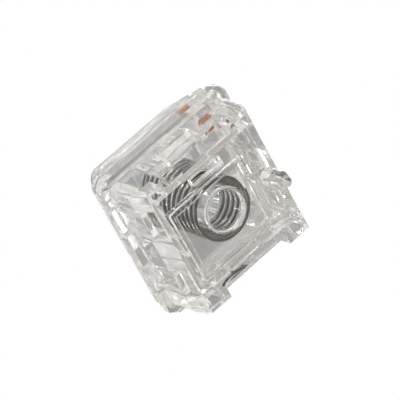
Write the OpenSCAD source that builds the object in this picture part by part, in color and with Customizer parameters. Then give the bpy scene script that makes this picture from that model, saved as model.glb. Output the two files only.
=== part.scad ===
// Clear push-button key switch with no terminals: two housings that clip together, a sliding stem,
// a return spring, a click spring and a light guide. Millimetres, stem up.
// The origin is the guide tube's axis, on the face that seats on the circuit board.

/* [Lower housing] */
// Width of the square body that drops into the mounting plate
body_w = 13.95; // [13.8:0.05:14.2]
// Height from the circuit board to the underside of the flange
body_h = 5; // [4.8:0.1:5.6]
// Corner radius of the body
body_r = 0.6; // [0.3:0.1:0.9]
// Width of the flange that rests on the mounting plate
flange_w = 15.6; // [15.2:0.1:16.4]
// Thickness of the flange
flange_t = 1; // [0.8:0.1:1.3]
// Corner radius of the flange
flange_r = 1.1; // [0.6:0.1:1.4]
// Thickness of the body's walls
wall_t = 0.9; // [0.7:0.05:1]
// Thickness of the floor
floor_t = 1; // [0.9:0.1:1.3]
// Width of the recess low in the front and back walls
recess_w = 7.6; // [6:0.2:8]
// Depth of that recess
recess_d = 0.95; // [0.8:0.05:1.1]
// Height of that recess
recess_h = 2.4; // [2:0.1:2.8]
// Height of the lean at the foot of the left and right walls
lean_h = 2.2; // [1.5:0.1:2.6]
// How far the left and right walls lean in at the foot
lean_d = 0.75; // [0.5:0.05:0.85]

/* [Guide tube] */
// Outer diameter of the tube that guides the stem's pole
tube_d = 4.3; // [4.3:0.05:4.6]
// Diameter of the tube's bore
bore_d = 3.8; // [3.6:0.05:3.9]
// Height of the tube's mouth above the circuit board
mouth_z = 0.3; // [0.1:0.1:0.4]
// Width of the chamfer at the bore's mouth
mouth_w = 0.15; // [0.05:0.05:0.2]
// Height of that chamfer
mouth_h = 0.4; // [0.1:0.1:0.6]

/* [Locating peg] */
// Distance from the tube's axis to the peg's
peg_x = 5.08; // [4.9:0.02:5.2]
// Diameter of the peg
peg_d = 1.7; // [1.5:0.05:1.9]
// Length of the peg below the board seat
peg_l = 3; // [2.4:0.1:3.4]
// Length of its tapered nose
peg_nose = 1.1; // [0.6:0.1:1.4]

/* [Clips] */
// Distance of each clip leg from the middle of its side
clip_y = 3.4; // [3:0.1:3.6]
// Width of a clip leg
clip_w = 2.6; // [2.2:0.1:2.8]
// Thickness of a clip leg
clip_t = 0.6; // [0.5:0.05:0.65]
// Length of a clip leg below the top of the flange
clip_l = 4.4; // [4:0.1:4.8]
// Width of the window in a clip leg
clip_window_w = 1.5; // [1.2:0.1:1.7]
// Reach of the plate snaps past the body
snap_reach = 0.35; // [0.2:0.05:0.5]

/* [Upper housing] */
// Height of the upper housing above the flange
upper_h = 5.6; // [5.2:0.1:6]
// Width of the upper housing at its rim
rim_w = 14.9; // [14.6:0.1:15.2]
// Height of the upright rim
rim_h = 1.2; // [0.8:0.1:1.6]
// Width of the top face
top_w = 10.8; // [10.6:0.1:11.4]
// Depth of the top face
top_d = 11.4; // [11.2:0.1:11.8]
// Thickness of the top face
top_t = 1.1; // [0.9:0.1:1.3]

/* [Stem] */
// Distance that the stem travels
travel = 3.5; // [3:0.1:3.6]
// Width of the stem's block
block_w = 7.1; // [6.8:0.1:7.3]
// Depth of the stem's block
block_d = 5.4; // [5:0.1:5.6]
// Height of the block above the top face at rest
block_rise = 0.3; // [0.1:0.1:0.6]
// Width of the skirt that stops the stem
skirt_w = 9.2; // [8.8:0.1:9.4]
// Depth of the skirt
skirt_d = 6.7; // [6.5:0.1:6.8]
// Height of the skirt
skirt_h = 2.25; // [1.9:0.05:2.4]
// Span of the keycap cross
cross_w = 4.05; // [3.9:0.05:4.2]
// Thickness of the arm of the cross that runs left to right
arm_x_t = 1.3; // [1.1:0.05:1.4]
// Thickness of the arm of the cross that runs front to back
arm_y_t = 1.15; // [1:0.05:1.4]
// Height of the cross above the block
cross_h = 3.6; // [3.2:0.1:4]
// Running clearance of the pole in the bore, on the radius
pole_gap = 0.07; // [0.03:0.01:0.1]

/* [Return spring] */
// Outer diameter of the spring
spring_d = 6.1; // [5.8:0.1:6.1]
// Diameter of the spring's wire
spring_wire = 0.36; // [0.3:0.02:0.38]
// Number of turns
spring_turns = 11; // [9:0.5:11]

/* [Click spring] */
// Outer diameter of the click spring's coil
click_d = 1.1; // [0.9:0.05:1.15]
// Diameter of its wire
click_wire = 0.24; // [0.18:0.02:0.26]
// Number of turns
click_turns = 4; // [3:1:5]
// Length of each leg
click_leg = 1; // [0.6:0.1:1.1]

/* [Light guide] */
// Width of the light guide
guide_w = 4.2; // [3.6:0.1:4.6]
// Depth of the light guide, front to back
guide_d = 1.4; // [1.2:0.05:1.45]
// Number of flutes down its outer face
flutes = 7; // [4:1:9]

/* [Hidden] */
$fn = 64;

bite = 0.05;                // how far joined shapes reach into each other
fit = 0.1;                  // clearance between pieces that stay put
slide_gap = 0.15;           // clearance round the stem's block
seam = 0.03;                // hairline between the two housings
stop_gap = 0.05;            // gap at the stem's upper stop at rest
skirt_room = 0.2;           // clearance beside the stem's skirt at the ceiling
seat_gap = 0.03;            // gap at each end of the return spring

half = body_w / 2;
flange_top = body_h + flange_t;
top_z = flange_top + upper_h;
ceiling_z = top_z - top_t;

// clip legs lie inside the body's width, in pockets of the left and right walls
clip_out = half - fit / 2;
clip_in = clip_out - clip_t;
pocket_x = clip_in - fit;
pocket_w = clip_w + 4 * fit;
clip_foot = flange_top - clip_l;
foot_bar = 0.6;
catch_h = 1;
catch_w = clip_window_w - 2 * fit;

// cavity that the stem moves in
cavity_x = pocket_x - wall_t;
cavity_y = half - recess_d - wall_t;
ledge_z = recess_h + wall_t;
corner_in = half - wall_t;

skirt_top = ceiling_z - stop_gap;
skirt_z = skirt_top - skirt_h;
block_top = top_z + block_rise;
cup_h = 0.8;
cup_d = spring_d + 3 * fit;
cup_z = skirt_z + cup_h;
tube_top = cup_z - travel - 3 * fit;
pole_d = bore_d - 2 * pole_gap;
pole_z = travel + 2 * fit;
pole_taper = 0.25;

// guide strips inside the left and right walls, and the tabs of the skirt that run between them
strip_y = 0.95;
strip_w = 0.5;
strip_d = 0.3;
tab_w = 2 * (strip_y - strip_w / 2 - fit);
tab_x = cavity_x - 2 * fit;
tab_h = 1.3;

// the light guide stands against the back of the cavity
guide_back = cavity_y - fit;
guide_front = guide_back - guide_d;
guide_foot = body_h + 2 * fit;
collar_h = 0.7;
collar_rim = 0.35;
flute_d = 0.22;

// the well in the underside, round the guide tube
well_left = -4.7;
well_right = 3.1;
well_back = -3.1;
well_front = 3.4;
well_d = 0.5;
bead_w = 0.5;
groove_w = 0.4;
groove_d = 0.4;

window_w = 3.6;
window_y = -well_back + bead_w + groove_w + fit;
core_w = 1.3;
core_x = 5.25;
core_y = 5.95;
core_h = 1.7;

// the click spring sits on a post in the right back corner
click_rise = 1.1;
click_pitch = click_wire * 1.25;
click_run = click_pitch * click_turns;
click_x = cavity_x - click_wire / 2 - click_run - 2 * fit;
click_y = -corner_in + click_d / 2 + fit;
click_z = ledge_z + click_rise;
post_d = click_d - 2 * click_wire - 2 * fit;

prism_l = 1.4;
prism_d = 1.3;
prism_h = 1.9;

snap_w = 3.4;
slot_w = 0.4;
slot_top = 0.6;
snap_drop = 1.5;
snap_z = body_h - snap_drop;
snap_h = 0.95;

module rounded_square(w, d, r) {
    square([w - 2 * r, d], center = true);
    square([w, d - 2 * r], center = true);
    for (x = [-1, 1], y = [-1, 1])
        translate([x * (w / 2 - r), y * (d / 2 - r)]) circle(r);
}

module rounded_block(w, d, h, r) {
    linear_extrude(h) rounded_square(w, d, r);
}

module block(x0, x1, y0, y1, z0, z1) {
    translate([x0, y0, z0]) cube([x1 - x0, y1 - y0, z1 - z0]);
}

// copies on the four corners, mirrored
module each_corner() {
    for (x = [0, 1], y = [0, 1])
        mirror([x, 0, 0]) mirror([0, y, 0]) children();
}

// a profile in X and Z, run along Y
module run_along_y(length) {
    translate([0, length / 2, 0]) rotate([90, 0, 0]) linear_extrude(length) children();
}

// a profile in Y and Z, run along X
module run_along_x(length) {
    translate([-length / 2, 0, 0]) rotate([90, 0, 90]) linear_extrude(length) children();
}

module lower_shell() {
    rounded_block(body_w, body_w, body_h + bite, body_r);
    translate([0, 0, body_h]) rounded_block(flange_w, flange_w, flange_t, flange_r);
}

module cavity() {
    block(-cavity_x, cavity_x, -cavity_y, cavity_y, floor_t, flange_top + bite);
    block(-recess_w / 2 + wall_t / 4, recess_w / 2 - wall_t / 4, -corner_in, corner_in,
        ledge_z, flange_top + bite);
    block(0, corner_in, -corner_in, -cavity_y + bite, ledge_z, flange_top + bite);
}

// the well's outline grown all round, cut up from the underside
module well_outline(grow, depth) {
    block(well_left - grow, well_right + grow, well_back - grow, well_front + grow, -bite, depth);
}

// the well, and the groove that leaves a bead round it
module well() {
    well_outline(0, well_d);
    difference() {
        well_outline(bead_w + groove_w, groove_d);
        well_outline(bead_w, groove_d + bite);
    }
}

module outer_cuts() {
    each_corner() {
        block(pocket_x, flange_w, clip_y - pocket_w / 2, clip_y + pocket_w / 2, -bite, flange_top + bite);
        block(core_x - core_w / 2, core_x + core_w / 2, core_y - core_w * 0.4, core_y + core_w * 0.4,
            -bite, core_h);
        block(snap_w / 2, snap_w / 2 + slot_w, corner_in - bite, flange_w, recess_h - bite,
            body_h - slot_top);
    }
    for (y = [0, 1])
        mirror([0, y, 0]) block(-recess_w / 2, recess_w / 2, half - recess_d, flange_w, -bite, recess_h);
    for (x = [0, 1])
        mirror([x, 0, 0]) run_along_y(flange_w)
            polygon([[half - lean_d, -bite], [half + bite, -bite], [half + bite, lean_h], [half, lean_h]]);
    well();
    block(-window_w / 2, window_w / 2, -cavity_y + fit, -window_y, -bite, floor_t + bite);
}

// the hooks that the clip legs catch on
module catches() {
    each_corner()
        translate([pocket_x - bite, clip_y, clip_foot + foot_bar + fit]) run_along_y(catch_w)
            polygon([[0, 0], [clip_t, 0], [clip_t, catch_h / 4], [0, catch_h]]);
}

// the wedges that snap under the mounting plate
module snaps() {
    for (y = [0, 1])
        mirror([0, y, 0]) translate([0, half - bite, snap_z]) run_along_x(snap_w)
            polygon([[0, 0], [snap_reach + bite, 0], [snap_reach + bite, -snap_h / 4], [0, -snap_h]]);
}

// small prisms on the floor that turn the light beam
module prisms() {
    for (x = [0, 1])
        mirror([x, 0, 0]) translate([cavity_x - prism_l, cavity_y + bite, floor_t - bite])
            run_along_x(prism_l)
                polygon([[-prism_d, 0], [0, 0], [0, prism_h], [-prism_d / 4, prism_h]]);
}

module strips() {
    each_corner()
        block(cavity_x - strip_d, cavity_x + bite, strip_y - strip_w / 2, strip_y + strip_w / 2,
            floor_t - bite, body_h);
}

// the post that carries the click spring, out from the corner's wall
module click_post() {
    translate([click_x - fit, click_y, click_z]) rotate([0, 90, 0])
        cylinder(h = corner_in + bite - click_x + fit, d = post_d);
}

module peg() {
    translate([peg_x, 0, 0]) {
        translate([0, 0, -peg_l + peg_nose]) cylinder(h = peg_l - peg_nose + bite, d = peg_d);
        translate([0, 0, -peg_l]) cylinder(h = peg_nose, d1 = peg_d / 2, d2 = peg_d);
    }
}

module lower_housing() {
    color([0.93, 0.93, 0.92, 0.35]) difference() {
        union() {
            difference() {
                lower_shell();
                cavity();
                outer_cuts();
            }
            catches();
            snaps();
            prisms();
            strips();
            peg();
            click_post();
            translate([0, 0, mouth_z]) cylinder(h = tube_top - mouth_z, d = tube_d);
        }
        translate([0, 0, -bite]) cylinder(h = tube_top + 2 * bite, d = bore_d);
        translate([0, 0, mouth_z - bite])
            cylinder(h = mouth_h + bite, d1 = bore_d + 2 * mouth_w * (1 + bite / mouth_h), d2 = bore_d);
    }
}

// a block that tapers from a square foot to a smaller head
module tapered(foot_w, head_w, head_d, z0, z1, r) {
    hull() {
        translate([0, 0, z0]) rounded_block(foot_w, foot_w, fit, r, $fn = 32);
        translate([0, 0, z1 - fit]) rounded_block(head_w, head_d, fit, r, $fn = 32);
    }
}

module clip_legs() {
    each_corner() difference() {
        block(clip_in, clip_out, clip_y - clip_w / 2, clip_y + clip_w / 2, clip_foot,
            flange_top + rim_h / 2);
        block(0, flange_w, clip_y - clip_window_w / 2, clip_y + clip_window_w / 2,
            clip_foot + foot_bar, flange_top - flange_t / 2);
    }
}

module upper_housing() {
    color([0.95, 0.95, 0.94, 0.35]) difference() {
        union() {
            translate([0, 0, flange_top + seam]) rounded_block(rim_w, rim_w, rim_h + bite, flange_r);
            tapered(rim_w, top_w, top_d, flange_top + rim_h, top_z, flange_r);
            clip_legs();
        }
        translate([0, 0, flange_top - bite])
            rounded_block(rim_w - 2 * wall_t, rim_w - 2 * wall_t, rim_h + 2 * bite, flange_r - wall_t / 2);
        tapered(rim_w - 2 * wall_t, skirt_w + 2 * skirt_room, 2 * (guide_back + fit), flange_top + rim_h,
            ceiling_z, flange_r - wall_t / 2);
        block(-block_w / 2 - slide_gap, block_w / 2 + slide_gap, -block_d / 2 - slide_gap,
            block_d / 2 + slide_gap, ceiling_z - bite, top_z + bite);
        block(-guide_w / 2 - fit, guide_w / 2 + fit, -guide_back - fit, -guide_front + fit,
            ceiling_z - bite, top_z + bite);
    }
}

module keycap_cross() {
    translate([0, 0, block_top - bite]) {
        rounded_block(cross_w, arm_x_t, cross_h + bite, 0.2);
        rounded_block(arm_y_t, cross_w, cross_h + bite, 0.2);
    }
}

module stem() {
    color([0.94, 0.95, 0.95, 0.4]) {
        difference() {
            union() {
                translate([0, 0, skirt_z + skirt_h / 2])
                    rounded_block(block_w, block_d, block_top - skirt_z - skirt_h / 2, 0.4);
                translate([0, 0, skirt_z]) rounded_block(skirt_w, skirt_d, skirt_h, 0.4);
                block(-tab_x, tab_x, -tab_w / 2, tab_w / 2, skirt_z, skirt_z + tab_h);
                keycap_cross();
            }
            translate([0, 0, skirt_z - bite]) cylinder(h = cup_h + bite, d = cup_d);
        }
        translate([0, 0, pole_z + pole_taper]) cylinder(h = cup_z + bite - pole_z - pole_taper, d = pole_d);
        translate([0, 0, pole_z]) cylinder(h = pole_taper, d1 = pole_d - 2 * pole_taper, d2 = pole_d);
    }
}

function unit(v) = v / norm(v);
function heading(path, i) = unit(path[min(i + 1, len(path) - 1)] - path[max(i - 1, 0)]);
function ring(path, i, axis, r, sides) =
    let (along = heading(path, i), side = unit(cross(along, axis)), up = cross(side, along))
    [for (k = [0 : sides - 1])
        path[i] + r * (cos(360 * k / sides) * side + sin(360 * k / sides) * up)];

// a round wire along a path whose bends turn about the given axis
module wire(path, axis, r, sides) {
    rings = len(path);
    points = [for (i = [0 : rings - 1]) each ring(path, i, axis, r, sides)];
    skin = [for (i = [0 : rings - 2], k = [0 : sides - 1])
        let (a = i * sides + k, b = i * sides + (k + 1) % sides)
        [a, b, b + sides, a + sides]];
    first = [for (k = [sides - 1 : -1 : 0]) k];
    last = [for (k = [0 : sides - 1]) (rings - 1) * sides + k];
    polyhedron(points = points, faces = concat([first], skin, [last]), convexity = 6);
}

module return_spring() {
    steps = 18;
    closed = 0.75;
    low = floor_t + seat_gap + spring_wire / 2;
    high = cup_z - seat_gap - spring_wire / 2;
    r = (spring_d - spring_wire) / 2;
    count = round(spring_turns * steps);
    // the end turns lie nearly flat
    lift = [for (i = [0 : count])
        let (t = i / steps, e = min(t, spring_turns - t)) e < closed ? 0.45 : 1];
    total = [for (i = 0, s = 0; i <= count; s = s + (i < count ? lift[i] : 0), i = i + 1) s];
    path = [for (i = [0 : count])
        [r * cos(360 * i / steps), r * sin(360 * i / steps), low + (high - low) * total[i] / total[count]]];
    color([0.22, 0.21, 0.2]) wire(path, [0, 0, 1], spring_wire / 2, 8);
}

module click_spring() {
    steps = 12;
    r = (click_d - click_wire) / 2;
    count = click_turns * steps;
    coil = [for (i = [0 : count])
        [click_x + click_pitch * i / steps, click_y - r * sin(360 * i / steps),
            click_z + r * cos(360 * i / steps)]];
    near = [[click_x, click_y + click_leg, click_z + r]];
    far = [[click_x + click_run, click_y + click_leg, click_z + r]];
    color([0.72, 0.36, 0.16]) wire(concat(near, coil, far), [1, 0, 0], click_wire / 2, 8);
}

module light_guide() {
    step = guide_w / flutes;
    outline = concat(
        [[guide_w / 2, -guide_front], [-guide_w / 2, -guide_front]],
        [for (i = [0 : flutes - 1], k = [0, 1])
            [-guide_w / 2 + step * (i + k / 2), -guide_back + k * flute_d]],
        [[guide_w / 2, -guide_back]]);
    color([0.95, 0.96, 0.96, 0.4]) {
        translate([0, 0, guide_foot]) linear_extrude(top_z - guide_foot) polygon(outline);
        block(-guide_w / 2 - collar_rim, guide_w / 2 + collar_rim, -guide_back + flute_d, -guide_front,
            ceiling_z - fit / 2 - collar_h, ceiling_z - fit / 2);
    }
}

lower_housing();
upper_housing();
stem();
return_spring();
click_spring();
light_guide();
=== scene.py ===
import math
import bmesh
import bpy
from mathutils import Matrix, Vector


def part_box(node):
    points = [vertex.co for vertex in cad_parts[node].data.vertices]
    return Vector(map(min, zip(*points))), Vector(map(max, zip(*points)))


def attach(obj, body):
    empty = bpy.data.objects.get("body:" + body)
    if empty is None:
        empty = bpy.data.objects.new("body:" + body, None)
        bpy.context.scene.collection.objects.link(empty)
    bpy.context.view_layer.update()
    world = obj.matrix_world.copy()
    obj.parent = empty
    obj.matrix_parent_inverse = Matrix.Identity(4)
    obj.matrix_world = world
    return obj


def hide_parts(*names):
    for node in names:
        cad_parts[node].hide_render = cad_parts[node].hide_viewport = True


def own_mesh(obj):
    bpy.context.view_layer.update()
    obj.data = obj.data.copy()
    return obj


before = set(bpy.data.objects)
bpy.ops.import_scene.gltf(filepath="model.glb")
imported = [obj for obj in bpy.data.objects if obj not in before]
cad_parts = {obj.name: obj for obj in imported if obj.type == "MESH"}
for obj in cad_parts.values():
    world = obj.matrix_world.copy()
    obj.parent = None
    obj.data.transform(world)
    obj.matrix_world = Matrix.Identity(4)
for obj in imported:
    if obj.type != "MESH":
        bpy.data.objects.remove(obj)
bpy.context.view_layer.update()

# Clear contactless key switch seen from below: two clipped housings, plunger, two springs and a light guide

mm = 0.001


def linkObject(name, data):
    made = bpy.data.objects.new(name, data)
    bpy.context.scene.collection.objects.link(made)
    return made


def pieceFrom(bm, name):
    mesh = bpy.data.meshes.new(name)
    bm.to_mesh(mesh)
    bm.free()
    return linkObject(name, mesh)


def settle(piece, body, node, material):
    # one place says what carries a piece, what it stands for and its finish
    piece.data.materials.clear()
    piece.data.materials.append(material)
    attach(piece, body)
    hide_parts(node)


def sharpenByAngle(bm, angle):
    for face in bm.faces:
        face.smooth = True
    for edge in bm.edges:
        edge.smooth = len(edge.link_faces) == 2 and edge.calc_face_angle(0) < angle


# shader building

def addNode(tree, kind, inputs=None, **settings):
    node = tree.nodes.new(kind)
    for key, value in settings.items():
        setattr(node, key, value)
    for key, value in (inputs or {}).items():
        node.inputs[key].default_value = value
    return node


def newGroup(name, inputs, outputs):
    # every socket is a plain number
    group = bpy.data.node_groups.new(name, "ShaderNodeTree")
    for label, default in inputs.items():
        socket = group.interface.new_socket(name=label, in_out="INPUT", socket_type="NodeSocketFloat")
        socket.default_value = default
    for label in outputs:
        group.interface.new_socket(name=label, in_out="OUTPUT", socket_type="NodeSocketFloat")
    return group, group.nodes.new("NodeGroupInput"), group.nodes.new("NodeGroupOutput")


def newMaterial(name):
    material = bpy.data.materials.new(name)
    material.use_nodes = True
    return material, material.node_tree, material.node_tree.nodes["Principled BSDF"]


def buildMouldFinish():
    # fine scuffs and the slow ripple of a moulded clear part; the ripple also sets the tint and the grey of
    # the painted glow
    group, groupIn, groupOut = newGroup(
        "mouldFinish",
        {"Ripple Scale": 260.0, "Scuff Scale": 2600.0, "Low Roughness": 0.01, "High Roughness": 0.08},
        ("Roughness", "Height", "Shade"))
    coords = addNode(group, "ShaderNodeTexCoord")
    ripple = addNode(group, "ShaderNodeTexNoise", {"Detail": 2.0})
    scuff = addNode(group, "ShaderNodeTexNoise", {"Detail": 6.0, "Roughness": 0.7})
    spread = addNode(group, "ShaderNodeMapRange", {"From Min": 0.45, "From Max": 0.75})
    height = addNode(group, "ShaderNodeMath", {1: 0.12}, operation="MULTIPLY_ADD")
    link = group.links.new
    link(coords.outputs["Object"], ripple.inputs["Vector"])
    link(coords.outputs["Object"], scuff.inputs["Vector"])
    link(groupIn.outputs["Ripple Scale"], ripple.inputs["Scale"])
    link(groupIn.outputs["Scuff Scale"], scuff.inputs["Scale"])
    link(scuff.outputs["Fac"], spread.inputs["Value"])
    link(groupIn.outputs["Low Roughness"], spread.inputs["To Min"])
    link(groupIn.outputs["High Roughness"], spread.inputs["To Max"])
    link(scuff.outputs["Fac"], height.inputs[0])
    link(ripple.outputs["Fac"], height.inputs[2])
    link(spread.outputs["Result"], groupOut.inputs["Roughness"])
    link(height.outputs["Value"], groupOut.inputs["Height"])
    link(ripple.outputs["Fac"], groupOut.inputs["Shade"])
    return group


def buildWireFinish():
    # drawn wire: fine grain in its surface and duller spots
    group, groupIn, groupOut = newGroup(
        "wireFinish",
        {"Spot Scale": 900.0, "Low Roughness": 0.2, "High Roughness": 0.45},
        ("Roughness", "Height", "Mask"))
    coords = addNode(group, "ShaderNodeTexCoord")
    spots = addNode(group, "ShaderNodeTexNoise", {"Detail": 5.0})
    grain = addNode(group, "ShaderNodeTexNoise", {"Scale": 5200.0})
    spread = addNode(group, "ShaderNodeMapRange", {"From Min": 0.35, "From Max": 0.65})
    link = group.links.new
    link(coords.outputs["Object"], spots.inputs["Vector"])
    link(coords.outputs["Object"], grain.inputs["Vector"])
    link(groupIn.outputs["Spot Scale"], spots.inputs["Scale"])
    link(spots.outputs["Fac"], spread.inputs["Value"])
    link(groupIn.outputs["Low Roughness"], spread.inputs["To Min"])
    link(groupIn.outputs["High Roughness"], spread.inputs["To Max"])
    link(spread.outputs["Result"], groupOut.inputs["Roughness"])
    link(grain.outputs["Fac"], groupOut.inputs["Height"])
    link(spots.outputs["Fac"], groupOut.inputs["Mask"])
    return group


mouldFinish = buildMouldFinish()
wireFinish = buildWireFinish()


def distanceFromAxis(tree, coords):
    flat = addNode(tree, "ShaderNodeVectorMath", {1: (1, 1, 0)}, operation="MULTIPLY")
    distance = addNode(tree, "ShaderNodeVectorMath", operation="LENGTH")
    tree.links.new(coords.outputs["Object"], flat.inputs[0])
    tree.links.new(flat.outputs["Vector"], distance.inputs[0])
    return distance.outputs["Value"]


# clear plastics

mouthSettings = {"radius": 2.14 * mm, "top": 0.72 * mm, "frost": 0.4}


def frostNearMouth(tree, roughness):
    # the guide tube's mouth is frosted by the tool that cut it
    coords = addNode(tree, "ShaderNodeTexCoord")
    inside = addNode(tree, "ShaderNodeMath", {1: mouthSettings["radius"]}, operation="LESS_THAN")
    parts = addNode(tree, "ShaderNodeSeparateXYZ")
    low = addNode(tree, "ShaderNodeMath", {1: mouthSettings["top"]}, operation="LESS_THAN")
    both = addNode(tree, "ShaderNodeMath", operation="MULTIPLY")
    frost = addNode(tree, "ShaderNodeMath", {1: mouthSettings["frost"]}, operation="MULTIPLY_ADD")
    link = tree.links.new
    link(distanceFromAxis(tree, coords), inside.inputs[0])
    link(coords.outputs["Object"], parts.inputs["Vector"])
    link(parts.outputs["Z"], low.inputs[0])
    link(inside.outputs["Value"], both.inputs[0])
    link(low.outputs["Value"], both.inputs[1])
    link(both.outputs["Value"], frost.inputs[0])
    link(roughness, frost.inputs[2])
    return frost.outputs["Value"]


caughtSettings = {"glossyBounces": 3.5, "allBounces": 11.5,
                  "dim": (0.1, 0.095, 0.09, 1), "bright": (0.7, 0.69, 0.67, 1)}


def paintedCaughtLight(tree, shade):
    # painted light: where light caught between walls reaches the bounce limit, the plastic glows with the
    # room's mean grey in its place
    path = addNode(tree, "ShaderNodeLightPath")
    glossy = addNode(tree, "ShaderNodeMath", {1: caughtSettings["glossyBounces"]}, operation="GREATER_THAN")
    late = addNode(tree, "ShaderNodeMath", {1: caughtSettings["allBounces"]}, operation="GREATER_THAN")
    either = addNode(tree, "ShaderNodeMath", operation="MAXIMUM")
    room = addNode(tree, "ShaderNodeMix", {"A": caughtSettings["dim"], "B": caughtSettings["bright"]},
                   data_type="RGBA")
    paintedGlow = addNode(tree, "ShaderNodeMix", {"A": (0, 0, 0, 1)}, data_type="RGBA")
    link = tree.links.new
    link(path.outputs["Glossy Depth"], glossy.inputs[0])
    link(path.outputs["Ray Depth"], late.inputs[0])
    link(glossy.outputs["Value"], either.inputs[0])
    link(late.outputs["Value"], either.inputs[1])
    link(shade, room.inputs["Factor"])
    link(room.outputs["Result"], paintedGlow.inputs["B"])
    link(either.outputs["Value"], paintedGlow.inputs["Factor"])
    return paintedGlow.outputs["Result"]


housingFinish = {"light": (0.997, 0.994, 0.985, 1), "deep": (0.98, 0.97, 0.95, 1), "rough": (0.0, 0.02),
                 "bump": 0.02, "ripple": 300}
coverFinish = {"light": (0.997, 0.995, 0.988, 1), "deep": (0.98, 0.974, 0.96, 1), "rough": (0.0, 0.02),
               "bump": 0.02, "ripple": 240}
stemFinish = {"light": (0.945, 0.96, 0.985, 1), "deep": (0.9, 0.92, 0.955, 1), "rough": (0.0, 0.02),
              "bump": 0.02, "ripple": 280}
lensFinish = {"light": (0.998, 0.998, 0.995, 1), "deep": (0.985, 0.985, 0.98, 1), "rough": (0.0, 0.03),
              "bump": 0.03, "ripple": 200}


def clearPlastic(name, settings, frosted=False):
    material, tree, shader = newMaterial(name)
    shader.inputs["Transmission Weight"].default_value = 0.96
    shader.inputs["IOR"].default_value = 1.5
    # the emission carries only the painted glow that stands in for light caught at the bounce limit
    shader.inputs["Emission Strength"].default_value = 1.0
    low, high = settings["rough"]
    finish = addNode(tree, "ShaderNodeGroup", node_tree=mouldFinish)
    finish.inputs["Ripple Scale"].default_value = settings["ripple"]
    finish.inputs["Low Roughness"].default_value = low
    finish.inputs["High Roughness"].default_value = high
    tint = addNode(tree, "ShaderNodeMix", {"A": settings["light"], "B": settings["deep"]}, data_type="RGBA")
    relief = addNode(tree, "ShaderNodeBump", {"Strength": settings["bump"], "Distance": 0.1 * mm})
    roughness = finish.outputs["Roughness"]
    link = tree.links.new
    link(paintedCaughtLight(tree, finish.outputs["Shade"]), shader.inputs["Emission Color"])
    link(finish.outputs["Shade"], tint.inputs["Factor"])
    link(tint.outputs["Result"], shader.inputs["Base Color"])
    link(frostNearMouth(tree, roughness) if frosted else roughness, shader.inputs["Roughness"])
    link(finish.outputs["Height"], relief.inputs["Height"])
    link(relief.outputs["Normal"], shader.inputs["Normal"])
    return material


housingPlastic = clearPlastic("housingPlastic", housingFinish, frosted=True)
coverPlastic = clearPlastic("coverPlastic", coverFinish)
stemPlastic = clearPlastic("stemPlastic", stemFinish)
lensPlastic = clearPlastic("lensPlastic", lensFinish)
print("clear plastics ready")


# moulded pieces: the frame's own solids, with their edges broken as a mould leaves them

def mouldedCopy(node, settings):
    bm = bmesh.new()
    bm.from_mesh(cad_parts[node].data)
    bmesh.ops.remove_doubles(bm, verts=bm.verts, dist=settings["merge"])
    bmesh.ops.dissolve_limit(bm, angle_limit=math.radians(settings["flat"]), verts=bm.verts,
                             edges=bm.edges, use_dissolve_boundaries=False)
    crisp = math.radians(settings["crisp"])
    edges = [e for e in bm.edges if len(e.link_faces) == 2 and e.calc_face_angle(0) > crisp
             and e.calc_length() > settings["shortest"]]
    bmesh.ops.bevel(bm, geom=edges, offset=settings["edge"], offset_type="OFFSET", affect="EDGES",
                    segments=settings["segments"], profile=0.5, material=-1, clamp_overlap=False,
                    loop_slide=True)
    # where rounds meet, the bevel leaves doubled corners
    bmesh.ops.remove_doubles(bm, verts=bm.verts, dist=0.001 * mm)
    sharpenByAngle(bm, math.radians(settings["smooth"]))
    piece = pieceFrom(bm, settings["name"])
    # flat faces stay flat beside their rounded edges
    weighted = piece.modifiers.new("flatFaces", "WEIGHTED_NORMAL")
    weighted.mode = "FACE_AREA"
    weighted.weight = 100
    weighted.keep_sharp = True
    print(settings["name"], len(piece.data.polygons), "faces")
    return piece


# angles in degrees; the lower housing's fine steps are merged, the upper housing's short edges left sharp
mouldShared = {"merge": 0.001 * mm, "flat": 0.5, "crisp": 14, "shortest": 0, "segments": 2, "smooth": 50}
lowerSettings = {**mouldShared, "name": "moulded_lower_housing", "merge": 0.04 * mm, "edge": 0.045 * mm}
upperSettings = {**mouldShared, "name": "moulded_upper_housing", "crisp": 25, "shortest": 0.3 * mm,
                 "edge": 0.04 * mm}
stemSettings = {**mouldShared, "name": "moulded_stem", "edge": 0.05 * mm}
guideSettings = {**mouldShared, "name": "moulded_light_guide", "edge": 0.03 * mm}

for body, node, slotName, material, settings in (
        ("housing", "lower_housing", "clear_housing", housingPlastic, lowerSettings),
        ("housing", "upper_housing", "clear_cover", coverPlastic, upperSettings),
        ("plunger", "stem", "clear_stem", stemPlastic, stemSettings),
        ("housing", "light_guide", "clear_lens", lensPlastic, guideSettings)):
    settle(mouldedCopy(node, settings), body, node, material)


# spring metals

def paintCoilHighlight(tree, color, coilRadius, paintedHighlight):
    # painted highlight: a pale band in the base colour along the inside and the outside of the turns, in
    # place of the wire's highlight lines
    coords = addNode(tree, "ShaderNodeTexCoord")
    offset = addNode(tree, "ShaderNodeMath", {1: coilRadius}, operation="SUBTRACT")
    depth = addNode(tree, "ShaderNodeMath", operation="ABSOLUTE")
    highlightBand = addNode(tree, "ShaderNodeMapRange", {"From Min": paintedHighlight["start"], "From Max": paintedHighlight["full"]})
    mix = addNode(tree, "ShaderNodeMix", {"B": paintedHighlight["color"]}, data_type="RGBA")
    link = tree.links.new
    link(distanceFromAxis(tree, coords), offset.inputs[0])
    link(offset.outputs["Value"], depth.inputs[0])
    link(depth.outputs["Value"], highlightBand.inputs["Value"])
    link(highlightBand.outputs["Result"], mix.inputs["Factor"])
    link(color, mix.inputs["A"])
    return mix.outputs["Result"]


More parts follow.
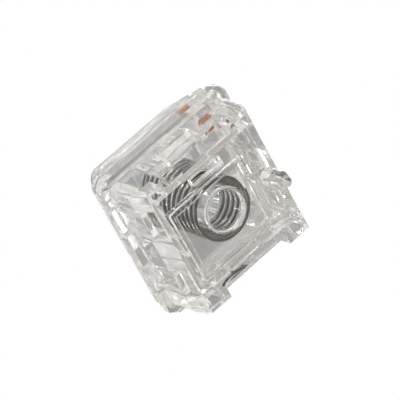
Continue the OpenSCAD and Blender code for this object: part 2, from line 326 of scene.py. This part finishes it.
def wireMetal(name, settings, coilRadius=0):
    material, tree, shader = newMaterial(name)
    shader.inputs["Metallic"].default_value = 1.0
    low, high = settings["rough"]
    finish = addNode(tree, "ShaderNodeGroup", node_tree=wireFinish)
    finish.inputs["Spot Scale"].default_value = settings["spots"]
    finish.inputs["Low Roughness"].default_value = low
    finish.inputs["High Roughness"].default_value = high
    tint = addNode(tree, "ShaderNodeMix", {"A": settings["bright"], "B": settings["dull"]}, data_type="RGBA")
    relief = addNode(tree, "ShaderNodeBump", {"Strength": 0.15, "Distance": 0.01 * mm})
    color = tint.outputs["Result"]
    # the pale band along the turns is a painted highlight
    if "paintedHighlight" in settings:
        color = paintCoilHighlight(tree, color, coilRadius, settings["paintedHighlight"])
    link = tree.links.new
    link(finish.outputs["Mask"], tint.inputs["Factor"])
    link(color, shader.inputs["Base Color"])
    link(finish.outputs["Roughness"], shader.inputs["Roughness"])
    link(finish.outputs["Height"], relief.inputs["Height"])
    link(relief.outputs["Normal"], shader.inputs["Normal"])
    return material


# return spring: round wire, closed end turns, constant pitch between them

springSettings = {"turns": 11.0, "closed": 0.75, "closedPitch": 0.45, "wire": 0.36 * mm, "sides": 16,
                  "steps": 40, "merge": 0.0001 * mm, "smooth": 50, "travel": 3.5 * mm}
# the steel's pale band is a painted highlight along the inside and the outside of the turns
steelFinish = {"bright": (0.1, 0.078, 0.066, 1), "dull": (0.04, 0.03, 0.026, 1), "rough": (0.04, 0.1),
               "spots": 900,
               "paintedHighlight": {"start": 0.135 * mm, "full": 0.17 * mm, "color": (0.62, 0.6, 0.57, 1)}}

springLow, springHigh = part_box("return_spring")
wireRadius = springSettings["wire"] / 2
coilRadius = (springHigh.x - springLow.x) / 2 - wireRadius


def buildReturnSpring():
    bottom, top = springLow.z + wireRadius, springHigh.z - wireRadius
    closed, ratio = springSettings["closed"], springSettings["closedPitch"]
    middle = springSettings["turns"] - 2 * closed
    pitch = (top - bottom) / (middle + 2 * closed * ratio)
    stand = Matrix.Translation((coilRadius, 0, bottom)) @ Matrix.Rotation(math.pi / 2, 4, "X")
    bm = bmesh.new()
    start = bmesh.ops.create_circle(bm, cap_ends=False, segments=springSettings["sides"],
                                    radius=wireRadius, matrix=stand)
    rim = list({e for v in start["verts"] for e in v.link_edges})
    bmesh.ops.edgeloop_fill(bm, edges=rim)
    for turns, rise in ((closed, pitch * ratio), (middle, pitch), (closed, pitch * ratio)):
        steps = round(turns * springSettings["steps"])
        done = bmesh.ops.spin(bm, geom=rim, cent=(0, 0, 0), axis=(0, 0, 1), angle=2 * math.pi * turns,
                              dvec=(0, 0, rise * turns / steps), steps=steps, use_merge=False)
        rim = [e for e in done["geom_last"] if isinstance(e, bmesh.types.BMEdge)]
    bmesh.ops.edgeloop_fill(bm, edges=rim)
    bmesh.ops.remove_doubles(bm, verts=bm.verts, dist=springSettings["merge"])
    bmesh.ops.recalc_face_normals(bm, faces=bm.faces)
    sharpenByAngle(bm, math.radians(springSettings["smooth"]))
    return pieceFrom(bm, "coiled_return_spring")


returnSpring = buildReturnSpring()
springSteel = wireMetal("springSteel", steelFinish, coilRadius)
settle(returnSpring, "housing", "return_spring", springSteel)
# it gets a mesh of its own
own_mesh(returnSpring)
print("return spring ready, coil radius", coilRadius)


# click spring: keeps the solid's path, with its facets smoothed

clickSettings = {"merge": 0.0001 * mm, "smooth": 60}
copperFinish = {"bright": (0.85, 0.33, 0.1, 1), "dull": (0.45, 0.14, 0.035, 1), "rough": (0.12, 0.3),
                "spots": 1400}


def buildClickSpring():
    bm = bmesh.new()
    bm.from_mesh(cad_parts["click_spring"].data)
    bmesh.ops.remove_doubles(bm, verts=bm.verts, dist=clickSettings["merge"])
    sharpenByAngle(bm, math.radians(clickSettings["smooth"]))
    return pieceFrom(bm, "bent_click_spring")


settle(buildClickSpring(), "housing", "click_spring", wireMetal("copperWire", copperFinish))
print("click spring ready")


# stage: a pale floor far below, the photo's camera, a white world behind, soft lamps

viewSettings = {"right": (0.7016, 0.4243, -0.5725), "up": (0.6175, -0.7629, 0.1913),
                "back": (-0.3556, -0.4877, -0.7973), "distance": 300 * mm, "pixelsPerMm": 11.2,
                "imageWidth": 400, "originX": 229.0, "originY": 211.3}
right, up, back = (Vector(viewSettings[side]) for side in ("right", "up", "back"))


def inView(rightwards, upwards, backwards):
    # a direction told by the photo's own right, its up and back to the camera
    return right * rightwards + up * upwards + back * backwards


floorSettings = {"z": -330 * mm, "size": 3.0, "pale": (0.86, 0.86, 0.86, 1), "dull": (0.83, 0.83, 0.83, 1)}


def buildFloor():
    bm = bmesh.new()
    bmesh.ops.create_grid(bm, x_segments=2, y_segments=2, size=floorSettings["size"] / 2)
    floor = pieceFrom(bm, "studio_floor")
    floor.location.z = floorSettings["z"]
    material, tree, shader = newMaterial("floorPaint")
    shader.inputs["Roughness"].default_value = 0.7
    grain = addNode(tree, "ShaderNodeTexNoise", {"Scale": 60.0})
    mix = addNode(tree, "ShaderNodeMix", {"A": floorSettings["pale"], "B": floorSettings["dull"]},
                  data_type="RGBA")
    tree.links.new(grain.outputs["Fac"], mix.inputs["Factor"])
    tree.links.new(mix.outputs["Result"], shader.inputs["Base Color"])
    floor.data.materials.append(material)


def buildCamera():
    # originX and originY are the frame's origin in the photo, in pixels
    scale = viewSettings["pixelsPerMm"] / mm
    middle = viewSettings["imageWidth"] / 2
    target = (right * (middle - viewSettings["originX"]) - up * (middle - viewSettings["originY"])) / scale
    data = bpy.data.cameras.new("photoCamera")
    data.sensor_width = 36
    data.lens = data.sensor_width * viewSettings["distance"] * scale / viewSettings["imageWidth"]
    data.clip_start, data.clip_end = 0.01, 10
    camera = linkObject("photoCamera", data)
    turn = Matrix((right, up, back)).transposed()
    camera.matrix_world = Matrix.Translation(target + back * viewSettings["distance"]) @ turn.to_4x4()
    bpy.context.scene.camera = camera
    return target


# screens: direction, cosines where one is full and where it ends, strength
worldSettings = {"behindCamera": (0.16, 0.155, 0.15, 1), "behindObject": (0.66, 0.655, 0.64, 1),
                 "greys": ((0.35, 0.28), (0.6, 0.48), (0.8, 0.6)), "gapScale": 3.2, "gaps": (0.5, 1.16),
                 "corner": (-0.8, -0.6, 0), "cornerTint": (0.82, 0.805, 0.78, 1),
                 "screens": (((0.2, -0.9, -0.35), 0.97, 0.95, 4.0), ((-0.45, -0.88, 0), 0.975, 0.96, 6.0),
                             ((0.6, 0.75, 0), 0.975, 0.955, 4.0))}


def towards(tree, coords, direction, limits):
    # a mask round one direction of the room
    facing = addNode(tree, "ShaderNodeVectorMath", {1: direction.normalized()}, operation="DOT_PRODUCT")
    mask = addNode(tree, "ShaderNodeMapRange", limits)
    tree.links.new(coords.outputs["Generated"], facing.inputs[0])
    tree.links.new(facing.outputs["Value"], mask.inputs["Value"])
    return mask.outputs["Result"]


def buildWorld():
    # the camera sees plain white; all other rays see a grey room, palest behind the object
    world = bpy.data.worlds.new("studioWorld")
    world.use_nodes = True
    bpy.context.scene.world = world
    tree = world.node_tree
    tree.nodes.clear()
    link = tree.links.new
    coords = addNode(tree, "ShaderNodeTexCoord")
    ramp = addNode(tree, "ShaderNodeValToRGB")
    stops = ramp.color_ramp.elements
    stops[0].color, stops[1].color = worldSettings["behindCamera"], worldSettings["behindObject"]
    for position, grey in worldSettings["greys"]:
        stops.new(position).color = (grey, grey * 0.98, grey * 0.96, 1)
    link(towards(tree, coords, inView(0, 0, -1), {"From Min": -1.0}), ramp.inputs["Fac"])
    # the room is uneven, with darker gaps
    uneven = addNode(tree, "ShaderNodeTexNoise", {"Scale": worldSettings["gapScale"], "Detail": 3.0})
    dark, pale = worldSettings["gaps"]
    gaps = addNode(tree, "ShaderNodeMapRange",
                   {"From Min": 0.38, "From Max": 0.6, "To Min": dark, "To Max": pale})
    shaded = addNode(tree, "ShaderNodeVectorMath", operation="SCALE")
    link(coords.outputs["Generated"], uneven.inputs["Vector"])
    link(uneven.outputs["Fac"], gaps.inputs["Value"])
    link(ramp.outputs["Color"], shaded.inputs[0])
    link(gaps.outputs["Result"], shaded.inputs["Scale"])
    # it falls off towards the photo's lower left, a little warmer there
    warmer = addNode(tree, "ShaderNodeMix", {"B": worldSettings["cornerTint"]}, data_type="RGBA",
                     blend_type="MULTIPLY")
    link(towards(tree, coords, inView(*worldSettings["corner"]), {"From Min": 0.1, "From Max": 0.8}),
         warmer.inputs["Factor"])
    link(shaded.outputs["Vector"], warmer.inputs["A"])
    # the coil's turns mirror these screens as thin pale lines
    lit = warmer.outputs["Result"]
    for direction, inner, outer, strength in worldSettings["screens"]:
        total = addNode(tree, "ShaderNodeVectorMath", operation="ADD")
        screen = towards(tree, coords, inView(*direction),
                         {"From Min": outer, "From Max": inner, "To Max": strength})
        link(lit, total.inputs[0])
        link(screen, total.inputs[1])
        lit = total.outputs["Vector"]
    path = addNode(tree, "ShaderNodeLightPath")
    soft = addNode(tree, "ShaderNodeBackground", {"Strength": 1.0})
    white = addNode(tree, "ShaderNodeBackground", {"Color": (1, 1, 1, 1), "Strength": 1.0})
    choose = addNode(tree, "ShaderNodeMixShader")
    output = addNode(tree, "ShaderNodeOutputWorld")
    link(lit, soft.inputs["Color"])
    link(path.outputs["Is Camera Ray"], choose.inputs["Fac"])
    link(soft.outputs["Background"], choose.inputs[1])
    link(white.outputs["Background"], choose.inputs[2])
    link(choose.outputs["Shader"], output.inputs["Surface"])


# direction from the object, distance, size, watts
lampSettings = {"keyBox": ((-0.7, 0.8, 0.6), 0.5, (0.12, 0.2), 0.7),
                "fillBox": ((1.0, 0.2, 0.5), 0.6, (0.08, 0.2), 0.45),
                "backBox": ((0, 0.5, -0.8), 0.6, (0.12, 0.3), 0.5)}


def buildLamps(target):
    for name, (direction, distance, size, watts) in lampSettings.items():
        data = bpy.data.lights.new(name, "AREA")
        data.shape = "RECTANGLE"
        data.size, data.size_y = size
        data.energy = watts
        away = inView(*direction).normalized()
        lamp = linkObject(name, data)
        lamp.location = target + away * distance
        lamp.rotation_mode = "QUATERNION"
        lamp.rotation_quaternion = away.to_track_quat("Z", "Y")


buildFloor()
target = buildCamera()
buildWorld()
buildLamps(target)
bpy.context.scene.view_settings.view_transform = "Standard"
print("stage ready")
